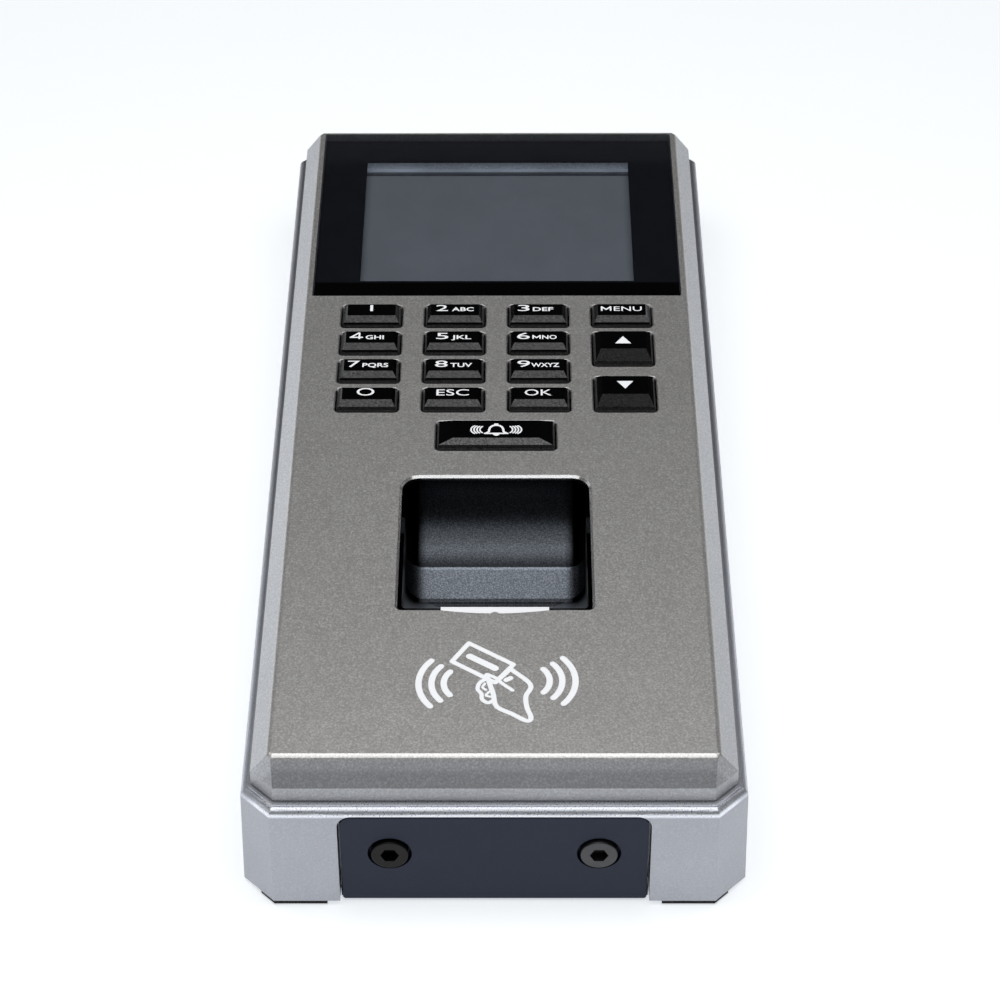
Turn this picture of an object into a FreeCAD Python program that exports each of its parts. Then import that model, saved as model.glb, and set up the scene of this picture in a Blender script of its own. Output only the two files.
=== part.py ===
"""Wall-mounted fingerprint and card access terminal, as separate pieces.

Frame: millimetres, lying on its back. +Z points out of the face with the keys, +Y points to the
display end, which is the top on a wall, and +X is to the right of someone who faces the terminal.
The origin is the middle of the plane that the four foot pads stand on.
"""
import FreeCAD, Part
import math
import os

import Sketcher
from FreeCAD import Placement, Rotation, Vector

doc = FreeCAD.newDocument("fingerprint_terminal")
sheet = doc.addObject("Spreadsheet::Sheet", "dims")

# Driving dimensions in millimetres: alias, value, meaning.
DIMENSIONS = [
    ("back_wide", 78.2, "rear housing width at its back edge"),
    ("back_long", 179.3, "rear housing length at its back edge"),
    ("rear_top_wide", 77.3, "rear housing width at its ledge"),
    ("rear_top_long", 177.5, "rear housing length at its ledge"),
    ("rear_tall", 19.3, "rear housing height"),
    ("rear_corner", 4.9, "corner cut of the rear housing"),
    ("rear_edge", 1.4, "rounding round the ledge"),
    ("rear_cavity_wide", 70.6, "inside width of the rear housing"),
    ("rear_cavity_near", -83.2, "inside face of the screw end wall"),
    ("rear_cavity_far", 85.9, "inside face of the display end wall"),
    ("wall_floor", 2.0, "thickness of the rear housing's back wall"),
    ("pad_tall", 0.8, "foot pad height"),
    ("front_wide", 74.1, "front housing width"),
    ("front_long", 173.7, "front housing length"),
    ("front_corner", 3.6, "corner cut of the front housing"),
    ("face_wide", 68.2, "flat face width"),
    ("face_long", 167.1, "flat face length"),
    ("face_corner", 0.35, "corner cut of the flat face"),
    ("face_edge", 0.9, "rounding round the flat face"),
    ("bevel_drop", 3.8, "height of the sloping flanks"),
    ("strip_tall", 2.6, "height of the upright strip under the flanks"),
    ("seal_tall", 0.3, "gap between the housings, filled by the seal"),
    ("spigot_tall", 3.0, "depth of the front housing's spigot"),
    ("spigot_wall", 1.6, "thickness of the spigot"),
    ("fit_gap", 0.3, "gap between spigot and rear housing"),
    ("face_thick", 2.0, "face thickness over the keys"),
    ("display_thick", 3.2, "face thickness round the display"),
    ("corner_round", 3.0, "corner radius of the cavities"),
    ("window_wide", 66.4, "display window width"),
    ("window_near", 31.25, "near edge of the display window"),
    ("window_far", 82.9, "far edge of the display window"),
    ("window_thick", 1.45, "display window thickness"),
    ("mask_thick", 0.2, "black mask thickness"),
    ("window_gap", 0.1, "gap round the display window"),
    ("window_sunk", 0.05, "how far the window lies under the face"),
    ("view_wide", 49.9, "clear view width"),
    ("view_near", 37.6, "near edge of the clear view"),
    ("view_far", 75.7, "far edge of the clear view"),
    ("panel_y", 54.65, "middle of the display panel"),
    ("key_pitch_x", 14.855, "distance between key columns"),
    ("key_pitch_y", 7.9, "distance between key rows"),
    ("key_row_top", 25.05, "middle of the first key row"),
    ("key_hole_wide", 11.05, "key hole width"),
    ("key_hole_tall", 6.55, "key hole height in the rows"),
    ("arrow_hole_tall", 9.75, "arrow key hole height"),
    ("arrow_up_y", 15.55, "middle of the up key"),
    ("arrow_down_y", 2.9, "middle of the down key"),
    ("bell_hole_wide", 20.65, "bell key hole width"),
    ("bell_hole_tall", 7.8, "bell key hole height"),
    ("bell_y", -8.25, "middle of the bell key"),
    ("key_hole_round", 0.9, "corner radius of the key holes"),
    ("key_hole_edge", 0.2, "bevel round the key holes"),
    ("key_gap", 0.2, "gap round a key"),
    ("key_wall", 0.85, "height of a key's upright walls over the face"),
    ("key_top", 1.5, "height of a key's flat over the face"),
    ("key_travel", 0.6, "key travel"),
    ("well_wide", 31.2, "finger well width in the face"),
    ("well_near", -51.25, "near edge of the finger well"),
    ("well_far", -18.95, "far edge of the finger well"),
    ("near_round", 0.8, "radius of the well's two near corners"),
    ("well_edge", 0.4, "bevel round the finger well"),
    ("collar", 0.65, "wall of the well insert inside the face"),
    ("collar_sunk", 0.45, "top of the well insert under the face"),
    ("platen_angle", 34.4, "slope of the finger platen"),
    ("platen_start", 23.3, "height of the platen's near end"),
    ("platen_end_y", -33.25, "far end of the platen"),
    ("facet_angle", 42.1, "slope of the stop facet"),
    ("stop_radius", 10.785, "radius of the fingertip stop"),
    ("stop_height", 26.0, "height of the fingertip stop's axis"),
    ("well_round", 2.9, "radius between the well's floor and sides"),
    ("strip_wide", 17.3, "width of the light strip in the well's near rim"),
    ("strip_near", -52.4, "near edge of the light strip"),
    ("strip_far", -50.85, "far edge of the light strip"),
    ("strip_bow", 51.0, "radius of the light strip's near edge"),
    ("strip_deep", 1.2, "depth of the light strip's seat"),
    ("strip_gap", 0.04, "gap round the light strip"),
    ("plate_thick", 1.6, "wall bracket plate thickness"),
    ("plate_low", 0.4, "wall bracket's back face over the pads' plane"),
    ("plate_wide", 67.8, "wall bracket width"),
    ("plate_long", 153.4, "length of the bracket's wide part"),
    ("lip_wide", 47.0, "width of the bracket's lip"),
    ("lip_thick", 2.4, "thickness of the bracket's lip"),
    ("lip_top", 18.5, "top of the bracket's lip"),
    ("lip_face", -88.75, "outer face of the bracket's lip"),
    ("lip_round", 1.8, "corner radius of the lip"),
    ("lip_gap", 0.4, "gap round the lip"),
    ("screw_x", 16.0, "security screws from the middle"),
    ("screw_z", 10.65, "height of the security screws"),
    ("screw_bore", 3.4, "clearance hole for an M3 screw"),
    ("sink_bore", 6.8, "counterbore of the lip's screw holes"),
    ("sink_deep", 1.55, "depth of the lip's counterbores"),
    ("boss_radius", 3.0, "radius of the screw bosses"),
    ("case_screw_x", 20.5, "housing screws from the middle"),
    ("case_screw_y", 79.9, "housing screws from the middle, lengthways"),
    ("wall_hole_x", 48.0, "wall hole spacing across"),
    ("wall_hole_y", 120.0, "wall hole spacing lengthways"),
    ("wall_bore", 4.5, "wall screw hole"),
    ("box_hole_y", 83.3, "gang box hole spacing"),
    ("cable_wide", 40.0, "cable window width in the bracket"),
    ("cable_near", -14.0, "near edge of the cable window"),
    ("cable_far", 16.0, "far edge of the cable window"),
    ("board_low", 7.0, "underside of the main board"),
    ("board_thick", 1.6, "circuit board thickness"),
]

for row, (alias, value, meaning) in enumerate(DIMENSIONS, start=1):
    sheet.set(f"A{row}", alias)
    sheet.set(f"B{row}", str(value))
    sheet.setAlias(f"B{row}", alias)
    sheet.set(f"C{row}", meaning)
doc.recompute()

TOP = "(dims.pad_tall + dims.rear_tall + dims.seal_tall + dims.strip_tall + dims.bevel_drop)"
REAR_TOP = "(dims.pad_tall + dims.rear_tall)"
STRIP_LOW = f"({REAR_TOP} + dims.seal_tall)"
FACE_LOW = f"({TOP} - dims.face_thick)"
RECESS = "(dims.plate_low + dims.plate_thick + 0.2)"
FLOOR = f"({RECESS} + dims.wall_floor)"
SPIGOT_LOW = f"({STRIP_LOW} - dims.spigot_tall)"

parts = []


def size(expression):
    """Value of an expression written in the sheet's aliases."""
    return float(sheet.evalExpression(str(expression)))


def bind(obj, **bindings):
    """Bind properties to expressions; a dot in a name is written as two underscores."""
    for name, expression in bindings.items():
        path = name.replace("__", ".")
        obj.setExpression(path, str(expression))
    return obj


def at(obj, x=0, y=0, z=0):
    """Bind an object's place to three expressions."""
    return bind(obj, Placement__Base__x=x, Placement__Base__y=y, Placement__Base__z=z)


def keep(obj, node):
    """Name a finished sub-part."""
    obj.Label = node
    parts.append(obj)
    return obj


def box(name, x0, x1, y0, y1, z0, z1):
    """Block between two corners, all six given as expressions."""
    obj = doc.addObject("Part::Box", name)
    bind(obj, Length=f"({x1}) - ({x0})", Width=f"({y1}) - ({y0})", Height=f"({z1}) - ({z0})")
    return at(obj, x0, y0, z0)


def cylinder(name, radius, x, y, z, height, turn=None):
    """Cylinder standing on (x, y, z); turn is a Rotation of its +Z axis."""
    obj = doc.addObject("Part::Cylinder", name)
    if turn is not None:
        obj.Placement = Placement(Vector(), turn)
    bind(obj, Radius=radius, Height=height)
    return at(obj, x, y, z)


def fuse(name, shapes):
    """One solid from overlapping shapes."""
    obj = doc.addObject("Part::MultiFuse", name)
    obj.Shapes = shapes
    return obj


def cut(name, base, *tools):
    """Base minus one or more tools."""
    obj = doc.addObject("Part::Cut", name)
    obj.Base = base
    obj.Tool = tools[0] if len(tools) == 1 else fuse(name + "_tools", list(tools))
    return obj


def common(name, shapes):
    """The space that every shape shares."""
    obj = doc.addObject("Part::MultiCommon", name)
    obj.Shapes = shapes
    return obj


def round_edges(name, base, radius, chosen, kind="Part::Fillet"):
    """Fillet or chamfer the edges of base for which chosen(edge) is true."""
    doc.recompute()
    obj = doc.addObject(kind, name)
    obj.Base = base
    amount = size(radius)
    obj.Edges = [(i, amount, amount) for i, edge in enumerate(base.Shape.Edges, 1) if chosen(edge)]
    return obj


def upright(edge):
    """True for a straight edge along Z."""
    ends = [v.Point for v in edge.Vertexes]
    return len(ends) == 2 and (ends[0] - ends[1]).cross(Vector(0, 0, 1)).Length < 1e-6


def rounded_box(name, radius, *limits):
    """Block with its four upright edges rounded."""
    return round_edges(name, box(name + "_block", *limits), radius, upright)


class Drawing:
    """A sketch with its dimensions tied to the sheet, alone or on a plane of a body."""

    def __init__(self, body, name, height="0", plane="XY_Plane"):
        self.sketch = doc.addObject("Sketcher::SketchObject", name)
        if body is None:
            return
        body.addObject(self.sketch)
        origin_plane = next(f for f in body.Origin.OriginFeatures if f.Role == plane)
        self.sketch.AttachmentSupport = [(origin_plane, "")]
        self.sketch.MapMode = "FlatFace"
        self.sketch.setExpression("AttachmentOffset.Base.z", height)

    def pin(self, geometry, point, x, y):
        """Tie a point of an element to a place given by two expressions."""
        for axis, kind, expression in ((-2, "DistanceX", x), (-1, "DistanceY", y)):
            if expression is None:
                continue
            value = size(expression)
            if abs(value) < 1e-9:
                self.sketch.addConstraint(Sketcher.Constraint("PointOnObject", geometry, point, axis))
                continue
            index = self.sketch.addConstraint(
                Sketcher.Constraint(kind, -1, 1, geometry, point, value))
            self.sketch.setExpression(f"Constraints[{index}]", expression)

    def polygon(self, corners):
        """Closed outline through corners given as pairs of expressions."""
        spots = [Vector(size(x), size(y), 0) for x, y in corners]
        count = len(spots)
        sides = [self.sketch.addGeometry(Part.LineSegment(spots[i], spots[(i + 1) % count]))
                 for i in range(count)]
        for i in range(count):
            self.sketch.addConstraint(
                Sketcher.Constraint("Coincident", sides[i], 2, sides[(i + 1) % count], 1))
        for side, (x, y) in zip(sides, corners):
            self.pin(side, 1, x, y)
        return self

    def octagon(self, wide, tall, corner):
        """Rectangle about the origin with four equal cut corners."""
        w, t, c = f"({wide}) / 2", f"({tall}) / 2", f"({corner})"
        return self.polygon([
            (f"{c} - {w}", f"-{t}"), (f"{w} - {c}", f"-{t}"),
            (w, f"{c} - {t}"), (w, f"{t} - {c}"),
            (f"{w} - {c}", t), (f"{c} - {w}", t),
            (f"-{w}", f"{t} - {c}"), (f"-{w}", f"{c} - {t}")])

    def rounded(self, x0, x1, y0, y1, radius):
        """Rectangle with four equal round corners."""
        a, b, c, d, r = (size(v) for v in (x0, x1, y0, y1, radius))
        runs = [((a + r, c), (b - r, c)), ((b, c + r), (b, d - r)),
                ((b - r, d), (a + r, d)), ((a, d - r), (a, c + r))]
        hubs = [(b - r, c + r), (b - r, d - r), (a + r, d - r), (a + r, c + r)]
        add, tie = self.sketch.addGeometry, self.sketch.addConstraint
        sides = [add(Part.LineSegment(Vector(*p, 0), Vector(*q, 0))) for p, q in runs]
        arcs = []
        for i, hub in enumerate(hubs):
            circle = Part.Circle(Vector(*hub, 0), Vector(0, 0, 1), r)
            start = -math.pi / 2 + i * math.pi / 2
            arcs.append(add(Part.ArcOfCircle(circle, start, start + math.pi / 2)))
        for i in range(4):
            tie(Sketcher.Constraint("Tangent", sides[i], 2, arcs[i], 1))
            tie(Sketcher.Constraint("Tangent", arcs[i], 2, sides[(i + 1) % 4], 1))
            tie(Sketcher.Constraint("Horizontal" if i % 2 == 0 else "Vertical", sides[i]))
            if i:
                tie(Sketcher.Constraint("Equal", arcs[0], arcs[i]))
        index = tie(Sketcher.Constraint("Radius", arcs[0], r))
        self.sketch.setExpression(f"Constraints[{index}]", str(radius))
        self.pin(sides[0], 1, None, y0)
        self.pin(sides[1], 1, x1, None)
        self.pin(sides[2], 1, None, y1)
        self.pin(sides[3], 1, x0, None)
        return self

    def circle(self, x, y, radius):
        """Add a circle round a point."""
        spot = Vector(size(x), size(y), 0)
        ring = self.sketch.addGeometry(Part.Circle(spot, Vector(0, 0, 1), size(radius)))
        index = self.sketch.addConstraint(Sketcher.Constraint("Radius", ring, size(radius)))
        self.sketch.setExpression(f"Constraints[{index}]", str(radius))
        self.pin(ring, 3, x, y)
        return self


def new_body(name):
    """An empty body for sketch features."""
    return doc.addObject("PartDesign::Body", name)


def pad(body, drawing, length, down=False, taper=None):
    """Raise a drawing by an expression's length."""
    feature = body.newObject("PartDesign::Pad", drawing.sketch.Name + "_pad")
    feature.Profile = drawing.sketch
    feature.Reversed = down
    feature.setExpression("Length", str(length))
    if taper is not None:
        feature.setExpression("TaperAngle", taper)
    return feature


def pocket(body, drawing, length, up=False):
    """Cut a drawing into the body, and make sure that it removed something."""
    doc.recompute()
    before = body.Shape.Volume
    feature = body.newObject("PartDesign::Pocket", drawing.sketch.Name + "_pocket")
    feature.Profile = drawing.sketch
    feature.Reversed = up
    feature.setExpression("Length", str(length))
    doc.recompute()
    if not body.Shape.Volume < before - 1e-3:
        raise RuntimeError(feature.Name + " cuts nothing")
    return feature


def dress(body, kind, name, amount, chosen):
    """PartDesign::Fillet or Chamfer on the edges of the body for which chosen(edge) is true."""
    doc.recompute()
    base = body.Tip
    names = [f"Edge{i}" for i, edge in enumerate(base.Shape.Edges, 1) if chosen(edge)]
    feature = body.newObject("PartDesign::" + kind, name)
    feature.Base = (base, names)
    feature.setExpression("Radius" if kind == "Fillet" else "Size", str(amount))
    return feature


def level(edge, height):
    """True for an edge that lies wholly at one height."""
    bounds = edge.BoundBox
    return abs(bounds.ZMin - height) < 1e-4 and abs(bounds.ZMax - height) < 1e-4


# Keys: name, middle in X, middle in Y, hole width, hole height, run of the front and side slopes.
COLUMN = {n: f"dims.key_pitch_x * {n - 2.5}" for n in range(1, 5)}
ROW = {n: f"dims.key_row_top - dims.key_pitch_y * {n - 1}" for n in range(1, 5)}
SMALL = ("dims.key_hole_wide", "dims.key_hole_tall", 1.2, 0.6)
ARROW = ("dims.key_hole_wide", "dims.arrow_hole_tall", 2.7, 0.9)
BELL = ("dims.bell_hole_wide", "dims.bell_hole_tall", 1.1, 2.4)
NUMBER_KEYS = ["1", "2", "3", "4", "5", "6", "7", "8", "9", "0", "esc", "ok"]
KEYS = [(f"key_{name}", COLUMN[i % 3 + 1], ROW[i // 3 + 1], *SMALL)
        for i, name in enumerate(NUMBER_KEYS)]
KEYS.append(("key_menu", COLUMN[4], ROW[1], *SMALL))
KEYS.append(("key_up", COLUMN[4], "dims.arrow_up_y", *ARROW))
KEYS.append(("key_down", COLUMN[4], "dims.arrow_down_y", *ARROW))
KEYS.append(("key_bell", "0", "dims.bell_y", *BELL))


def make_front_housing():
    """Face with sloping flanks and a spigot, open for window, keys and finger well."""
    body = new_body("front_body")
    strip = Drawing(body, "front_strip", STRIP_LOW)
    strip.octagon("dims.front_wide", "dims.front_long", "dims.front_corner")
    pad(body, strip, "dims.strip_tall")
    skirt = Drawing(body, "front_skirt", f"{TOP} - dims.bevel_drop")
    skirt.octagon("dims.front_wide", "dims.front_long", "dims.front_corner")
    face = Drawing(body, "front_face", TOP)
    face.octagon("dims.face_wide", "dims.face_long", "dims.face_corner")
    flanks = body.newObject("PartDesign::AdditiveLoft", "front_flanks")
    flanks.Profile = skirt.sketch
    flanks.Sections = [face.sketch]
    flanks.Ruled = True
    top = size(TOP)
    dress(body, "Fillet", "front_rounding", "dims.face_edge", lambda edge: level(edge, top))

    side = "dims.rear_cavity_wide / 2 - dims.fit_gap"
    near = "dims.rear_cavity_near + dims.fit_gap"
    far = "dims.rear_cavity_far - dims.fit_gap"
    inner = (f"-({side} - dims.spigot_wall)", f"{side} - dims.spigot_wall",
             f"{near} + dims.spigot_wall", f"{far} - dims.spigot_wall")
    spigot = Drawing(body, "front_spigot", STRIP_LOW)
    spigot.rounded(f"-({side})", side, near, far, "dims.corner_round")
    pad(body, spigot, "dims.spigot_tall", down=True)
    cavity = Drawing(body, "front_cavity", f"{STRIP_LOW} - dims.spigot_tall")
    cavity.rounded(*inner, "dims.corner_round")
    pocket(body, cavity, f"{TOP} - dims.display_thick - ({STRIP_LOW} - dims.spigot_tall)", up=True)
    key_bay = Drawing(body, "front_key_bay", f"{TOP} - dims.display_thick")
    key_bay.rounded(*inner[:3], "dims.window_near - 1.25", "dims.corner_round")
    pocket(body, key_bay, "dims.display_thick - dims.face_thick", up=True)

    seat = Drawing(body, "front_window_seat", TOP)
    seat.rounded("-dims.window_wide / 2 - dims.window_gap", "dims.window_wide / 2 + dims.window_gap",
                 "dims.window_near - dims.window_gap", "dims.window_far + dims.window_gap", "0.3")
    pocket(body, seat, "dims.window_thick + dims.mask_thick + dims.window_sunk")
    view = Drawing(body, "front_view", TOP)
    view.rounded("-dims.view_wide / 2 - 0.1", "dims.view_wide / 2 + 0.1",
                 "dims.view_near - 0.1", "dims.view_far + 0.1", "0.3")
    pocket(body, view, "dims.display_thick + 1")
    holes = Drawing(body, "front_key_holes", TOP)
    for _, x, y, wide, tall, _, _ in KEYS:
        holes.rounded(f"{x} - {wide} / 2", f"{x} + {wide} / 2",
                      f"{y} - {tall} / 2", f"{y} + {tall} / 2", "dims.key_hole_round")
    pocket(body, holes, "dims.face_thick + 1")
    dress(body, "Chamfer", "front_key_bevel", "dims.key_hole_edge",
          lambda edge: level(edge, top) and edge.BoundBox.YMax < size("dims.window_near") - 1
          and edge.BoundBox.YMin > size("dims.bell_y") - 6 and abs(edge.BoundBox.Center.x) < 30)
    well = Drawing(body, "front_well", TOP)
    well.rounded("-dims.well_wide / 2", "dims.well_wide / 2", "dims.well_near", "dims.well_far",
                 "dims.corner_round")
    pocket(body, well, "dims.face_thick + 1")
    well_near = Drawing(body, "front_well_near", TOP)
    well_near.rounded("-dims.well_wide / 2", "dims.well_wide / 2", "dims.well_near",
                      "dims.well_far - 12", "dims.near_round")
    pocket(body, well_near, "dims.face_thick + 1")
    dress(body, "Chamfer", "front_well_bevel", "dims.well_edge",
          lambda edge: level(edge, top) and edge.BoundBox.YMax < size("dims.well_far") + 1
          and abs(edge.BoundBox.Center.x) < 17)

    bosses = [cylinder(f"front_boss_{i}", "dims.boss_radius", *spot, SPIGOT_LOW,
                       f"{FACE_LOW} + 0.2 - {SPIGOT_LOW}") for i, spot in enumerate(CASE_SCREWS, 1)]
    rails = [box(f"keypad_rail_{i}", f"{side_in} + {shift}", f"{side_in} + {shift} + 2.6", -14.5, 29.5,
                 f"{FACE_LOW} - 4", f"{FACE_LOW} + 0.2")
             for i, (side_in, shift) in enumerate((("31.2", 0), ("-31.2", -2.6)), 1)]
    taps = [cylinder(f"front_tap_{i}", 1.25, *spot, 10, 13.4)
            for i, spot in enumerate(CASE_SCREWS, 1)]
    shell = fuse("front_shell", [body, *bosses, *rails])
    seat = light_strip("front_strip_seat", 0, f"{TOP} - dims.strip_deep", f"{TOP} + 1")
    keep(cut("front_housing_shape", shell, seat, *taps), "front_housing")


CASE_SCREWS = [(f"{a} * dims.case_screw_x", f"{b} * dims.case_screw_y")
               for a in (-1, 1) for b in (-1, 1)]


def light_strip(name, gap, low, high):
    """Crescent in the near rim of the well, with a small notch in the middle of its near edge."""
    half = f"(dims.strip_wide / 2 - {gap})"
    disc = cylinder(name + "_disc", f"dims.strip_bow - {gap}", 0, "dims.strip_near + dims.strip_bow",
                    low, f"{high} - ({low})")
    span = box(name + "_span", f"-{half}", half, "dims.strip_near - 1", f"dims.strip_far - {gap}",
               low, high)
    notch = cylinder(name + "_notch", f"0.7 + {gap}", 0, "dims.strip_near - 0.3", low,
                     f"{high} - ({low})")
    return cut(name, common(name + "_plate", [disc, span]), notch)


def make_rear_housing():
    """Drafted back shell with a recess for the wall bracket and an open notch for its lip."""
    body = new_body("rear_body")
    outline = Drawing(body, "rear_outline", "dims.pad_tall")
    outline.octagon("dims.back_wide", "dims.back_long", "dims.rear_corner")
    top = Drawing(body, "rear_top_outline", REAR_TOP)
    top.octagon("dims.rear_top_wide", "dims.rear_top_long", "dims.rear_corner - 0.3")
    sides = body.newObject("PartDesign::AdditiveLoft", "rear_sides")
    sides.Profile = top.sketch
    sides.Sections = [outline.sketch]
    sides.Ruled = True
    ledge = size(REAR_TOP)
    dress(body, "Fillet", "rear_rounding", "dims.rear_edge", lambda edge: level(edge, ledge))
    cavity = Drawing(body, "rear_cavity", REAR_TOP)
    cavity.rounded("-dims.rear_cavity_wide / 2", "dims.rear_cavity_wide / 2",
                   "dims.rear_cavity_near", "dims.rear_cavity_far", "dims.corner_round")
    pocket(body, cavity, f"{REAR_TOP} - {FLOOR}")
    groove = Drawing(body, "rear_groove", REAR_TOP)
    groove.octagon("dims.rear_top_wide - 1.7", "dims.rear_top_long - 1.7", "dims.rear_corner - 0.8")
    groove.octagon("dims.rear_top_wide - 2.1", "dims.rear_top_long - 2.1", "dims.rear_corner - 0.9")
    pocket(body, groove, "0.3")
    bay = Drawing(body, "bracket_bay", "0")
    bay.rounded("-dims.plate_wide / 2 - 0.3", "dims.plate_wide / 2 + 0.3",
                "-dims.plate_long / 2 - 0.3", "dims.plate_long / 2 + 0.3", "dims.corner_round")
    pocket(body, bay, RECESS, up=True)
    tongue = Drawing(body, "bracket_tongue_bay", "0")
    tongue.rounded("-dims.lip_wide / 2 - dims.lip_gap", "dims.lip_wide / 2 + dims.lip_gap",
                   "-dims.case_screw_y - 12", "dims.case_screw_y + 3.5", "0.5")
    pocket(body, tongue, RECESS, up=True)

    notch = Drawing(body, "lip_notch", "-(dims.lip_face + dims.lip_thick + 0.3)", "XZ_Plane")
    notch.rounded("-dims.lip_wide / 2 - dims.lip_gap", "dims.lip_wide / 2 + dims.lip_gap",
                  "-5", "dims.lip_top + 0.3", "dims.lip_round + dims.lip_gap")
    pocket(body, notch, 6, up=True)
    slots = [box(f"hook_slot_{i}", f"{x} - 4.3", f"{x} + 4.3", "dims.case_screw_y - 1.5",
                 "dims.case_screw_y + 6", f"{RECESS} - 0.3", f"{RECESS} + 1.35")
             for i, x in enumerate((-9, 9), 1)]
    posts = [cylinder(f"rear_boss_{i}", "dims.boss_radius", *spot, FLOOR, f"{SPIGOT_LOW} - {FLOOR}")
             for i, spot in enumerate(CASE_SCREWS, 1)]
    posts += [cylinder(f"board_post_{i}", 2.4, x, y, FLOOR, f"dims.board_low - {FLOOR}")
              for i, (x, y) in enumerate(BOARD_SCREWS, 1)]
    posts += [box(f"lip_block_{i}", f"{x} - 5", f"{x} + 5", "dims.rear_cavity_near - 1",
                  "dims.rear_cavity_near + 5.5", f"{FLOOR} - 0.5", "16.2")
              for i, x in enumerate(("-dims.screw_x", "dims.screw_x"), 1)]
    drills = [cylinder(f"rear_drill_{i}", "dims.screw_bore / 2", *spot, 0, 30)
              for i, spot in enumerate(CASE_SCREWS, 1)]
    drills += [cylinder(f"rear_sink_{i}", 3.1, *spot, 0, f"{RECESS} + 1.5")
               for i, spot in enumerate(CASE_SCREWS, 1)]
    drills += [cylinder(f"board_tap_{i}", 1.0, x, y, f"{FLOOR} - 1", 6)
               for i, (x, y) in enumerate(BOARD_SCREWS, 1)]
    drills += [cylinder(f"lip_tap_{i}", 1.25, x, "dims.lip_face", "dims.screw_z", 10.5,
                        Rotation(Vector(1, 0, 0), -90))
               for i, x in enumerate(("-dims.screw_x", "dims.screw_x"), 1)]
    window = rounded_box("wire_window", 2, "-dims.cable_wide / 2 + 1", "dims.cable_wide / 2 - 1",
                         "dims.cable_near + 1", "dims.cable_far - 1", 0, f"{FLOOR} + 0.5")
    tamper = cylinder("tamper_hole", 1.75, *TAMPER, 0, 6)
    shell = fuse("rear_shell", [body, *posts])
    keep(cut("rear_housing_shape", shell, *slots, *drills, window, tamper), "rear_housing")


BOARD_SCREWS = [(a * 29.5, y) for a in (-1, 1) for y in (-9, 74)]
TAMPER = (-25, 40)


def make_wall_bracket():
    """Plate with a turned-up lip that takes the two security screws, and two hooks at the top."""
    body = new_body("bracket_body")
    plate = Drawing(body, "bracket_plate", "dims.plate_low")
    plate.rounded("-dims.plate_wide / 2", "dims.plate_wide / 2",
                  "-dims.plate_long / 2", "dims.plate_long / 2", "dims.corner_round")
    pad(body, plate, "dims.plate_thick")
    tongue = Drawing(body, "bracket_tongue", "dims.plate_low")
    tongue.rounded("-dims.lip_wide / 2 - dims.lip_gap + 0.1", "dims.lip_wide / 2 + dims.lip_gap - 0.1",
                   "dims.lip_face + 0.5", "dims.case_screw_y + 3", "0.4")
    pad(body, tongue, "dims.plate_thick")
    lip = Drawing(body, "bracket_lip", "-(dims.lip_face + dims.lip_thick)", "XZ_Plane")
    wide, low, high = "dims.lip_wide / 2", "dims.plate_low", "dims.lip_top"
    lip.polygon([(f"0.3 - {wide}", low), (f"{wide} - 0.3", low), (wide, f"{low} + 0.3"), (wide, high),
                 (f"-{wide}", high), (f"-{wide}", f"{low} + 0.3")])
    pad(body, lip, "dims.lip_thick")
    dress(body, "Fillet", "bracket_lip_rounding", "dims.lip_round",
          lambda edge: across(edge) and edge.BoundBox.ZMin > size(high) - 0.1)
    sinks = Drawing(body, "lip_sinks", "-dims.lip_face", "XZ_Plane")
    bores = Drawing(body, "lip_bores", "-dims.lip_face", "XZ_Plane")
    for x in ("-dims.screw_x", "dims.screw_x"):
        sinks.circle(x, "dims.screw_z", "dims.sink_bore / 2")
        bores.circle(x, "dims.screw_z", "dims.screw_bore / 2")
    pocket(body, sinks, "dims.sink_deep")
    pocket(body, bores, "dims.lip_thick + 1")
    openings = Drawing(body, "bracket_openings", "0")
    openings.rounded("-dims.cable_wide / 2", "dims.cable_wide / 2",
                     "dims.cable_near", "dims.cable_far", "3")
    for x, y in WALL_HOLES:
        openings.circle(x, y, "dims.wall_bore / 2")
    pocket(body, openings, "dims.plate_low + dims.plate_thick + 1", up=True)
    hooks = [box(f"bracket_hook_{i}", f"{x} - 4", f"{x} + 4", "dims.case_screw_y - 1",
                 "dims.case_screw_y + 5.5", "dims.plate_low + dims.plate_thick",
                 f"{RECESS} + 1.1") for i, x in enumerate((-9, 9), 1)]
    keep(fuse("wall_bracket_shape", [body, *hooks]), "wall_bracket")


WALL_HOLES = [(f"{a} * dims.wall_hole_x / 2", f"{b} * dims.wall_hole_y / 2")
              for a in (-1, 1) for b in (-1, 1)]
WALL_HOLES += [("0", "-dims.box_hole_y / 2"), ("0", "dims.box_hole_y / 2")]


def across(edge):
    """True for a straight edge along Y."""
    ends = [v.Point for v in edge.Vertexes]
    return len(ends) == 2 and (ends[0] - ends[1]).cross(Vector(0, 1, 0)).Length < 1e-6


def make_seal():
    """Flat ring between the housings, set back from both."""
    body = new_body("seal_body")
    outer = Drawing(body, "seal_outer", REAR_TOP)
    outer.octagon("dims.front_wide - 0.6", "dims.front_long - 0.6", "dims.front_corner")
    pad(body, outer, "dims.seal_tall")
    inner = Drawing(body, "seal_inner", REAR_TOP)
    inner.rounded("-dims.rear_cavity_wide / 2", "dims.rear_cavity_wide / 2",
                  "dims.rear_cavity_near", "dims.rear_cavity_far", "dims.corner_round")
    pocket(body, inner, "dims.seal_tall + 1", up=True)
    keep(body, "housing_seal")


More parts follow.
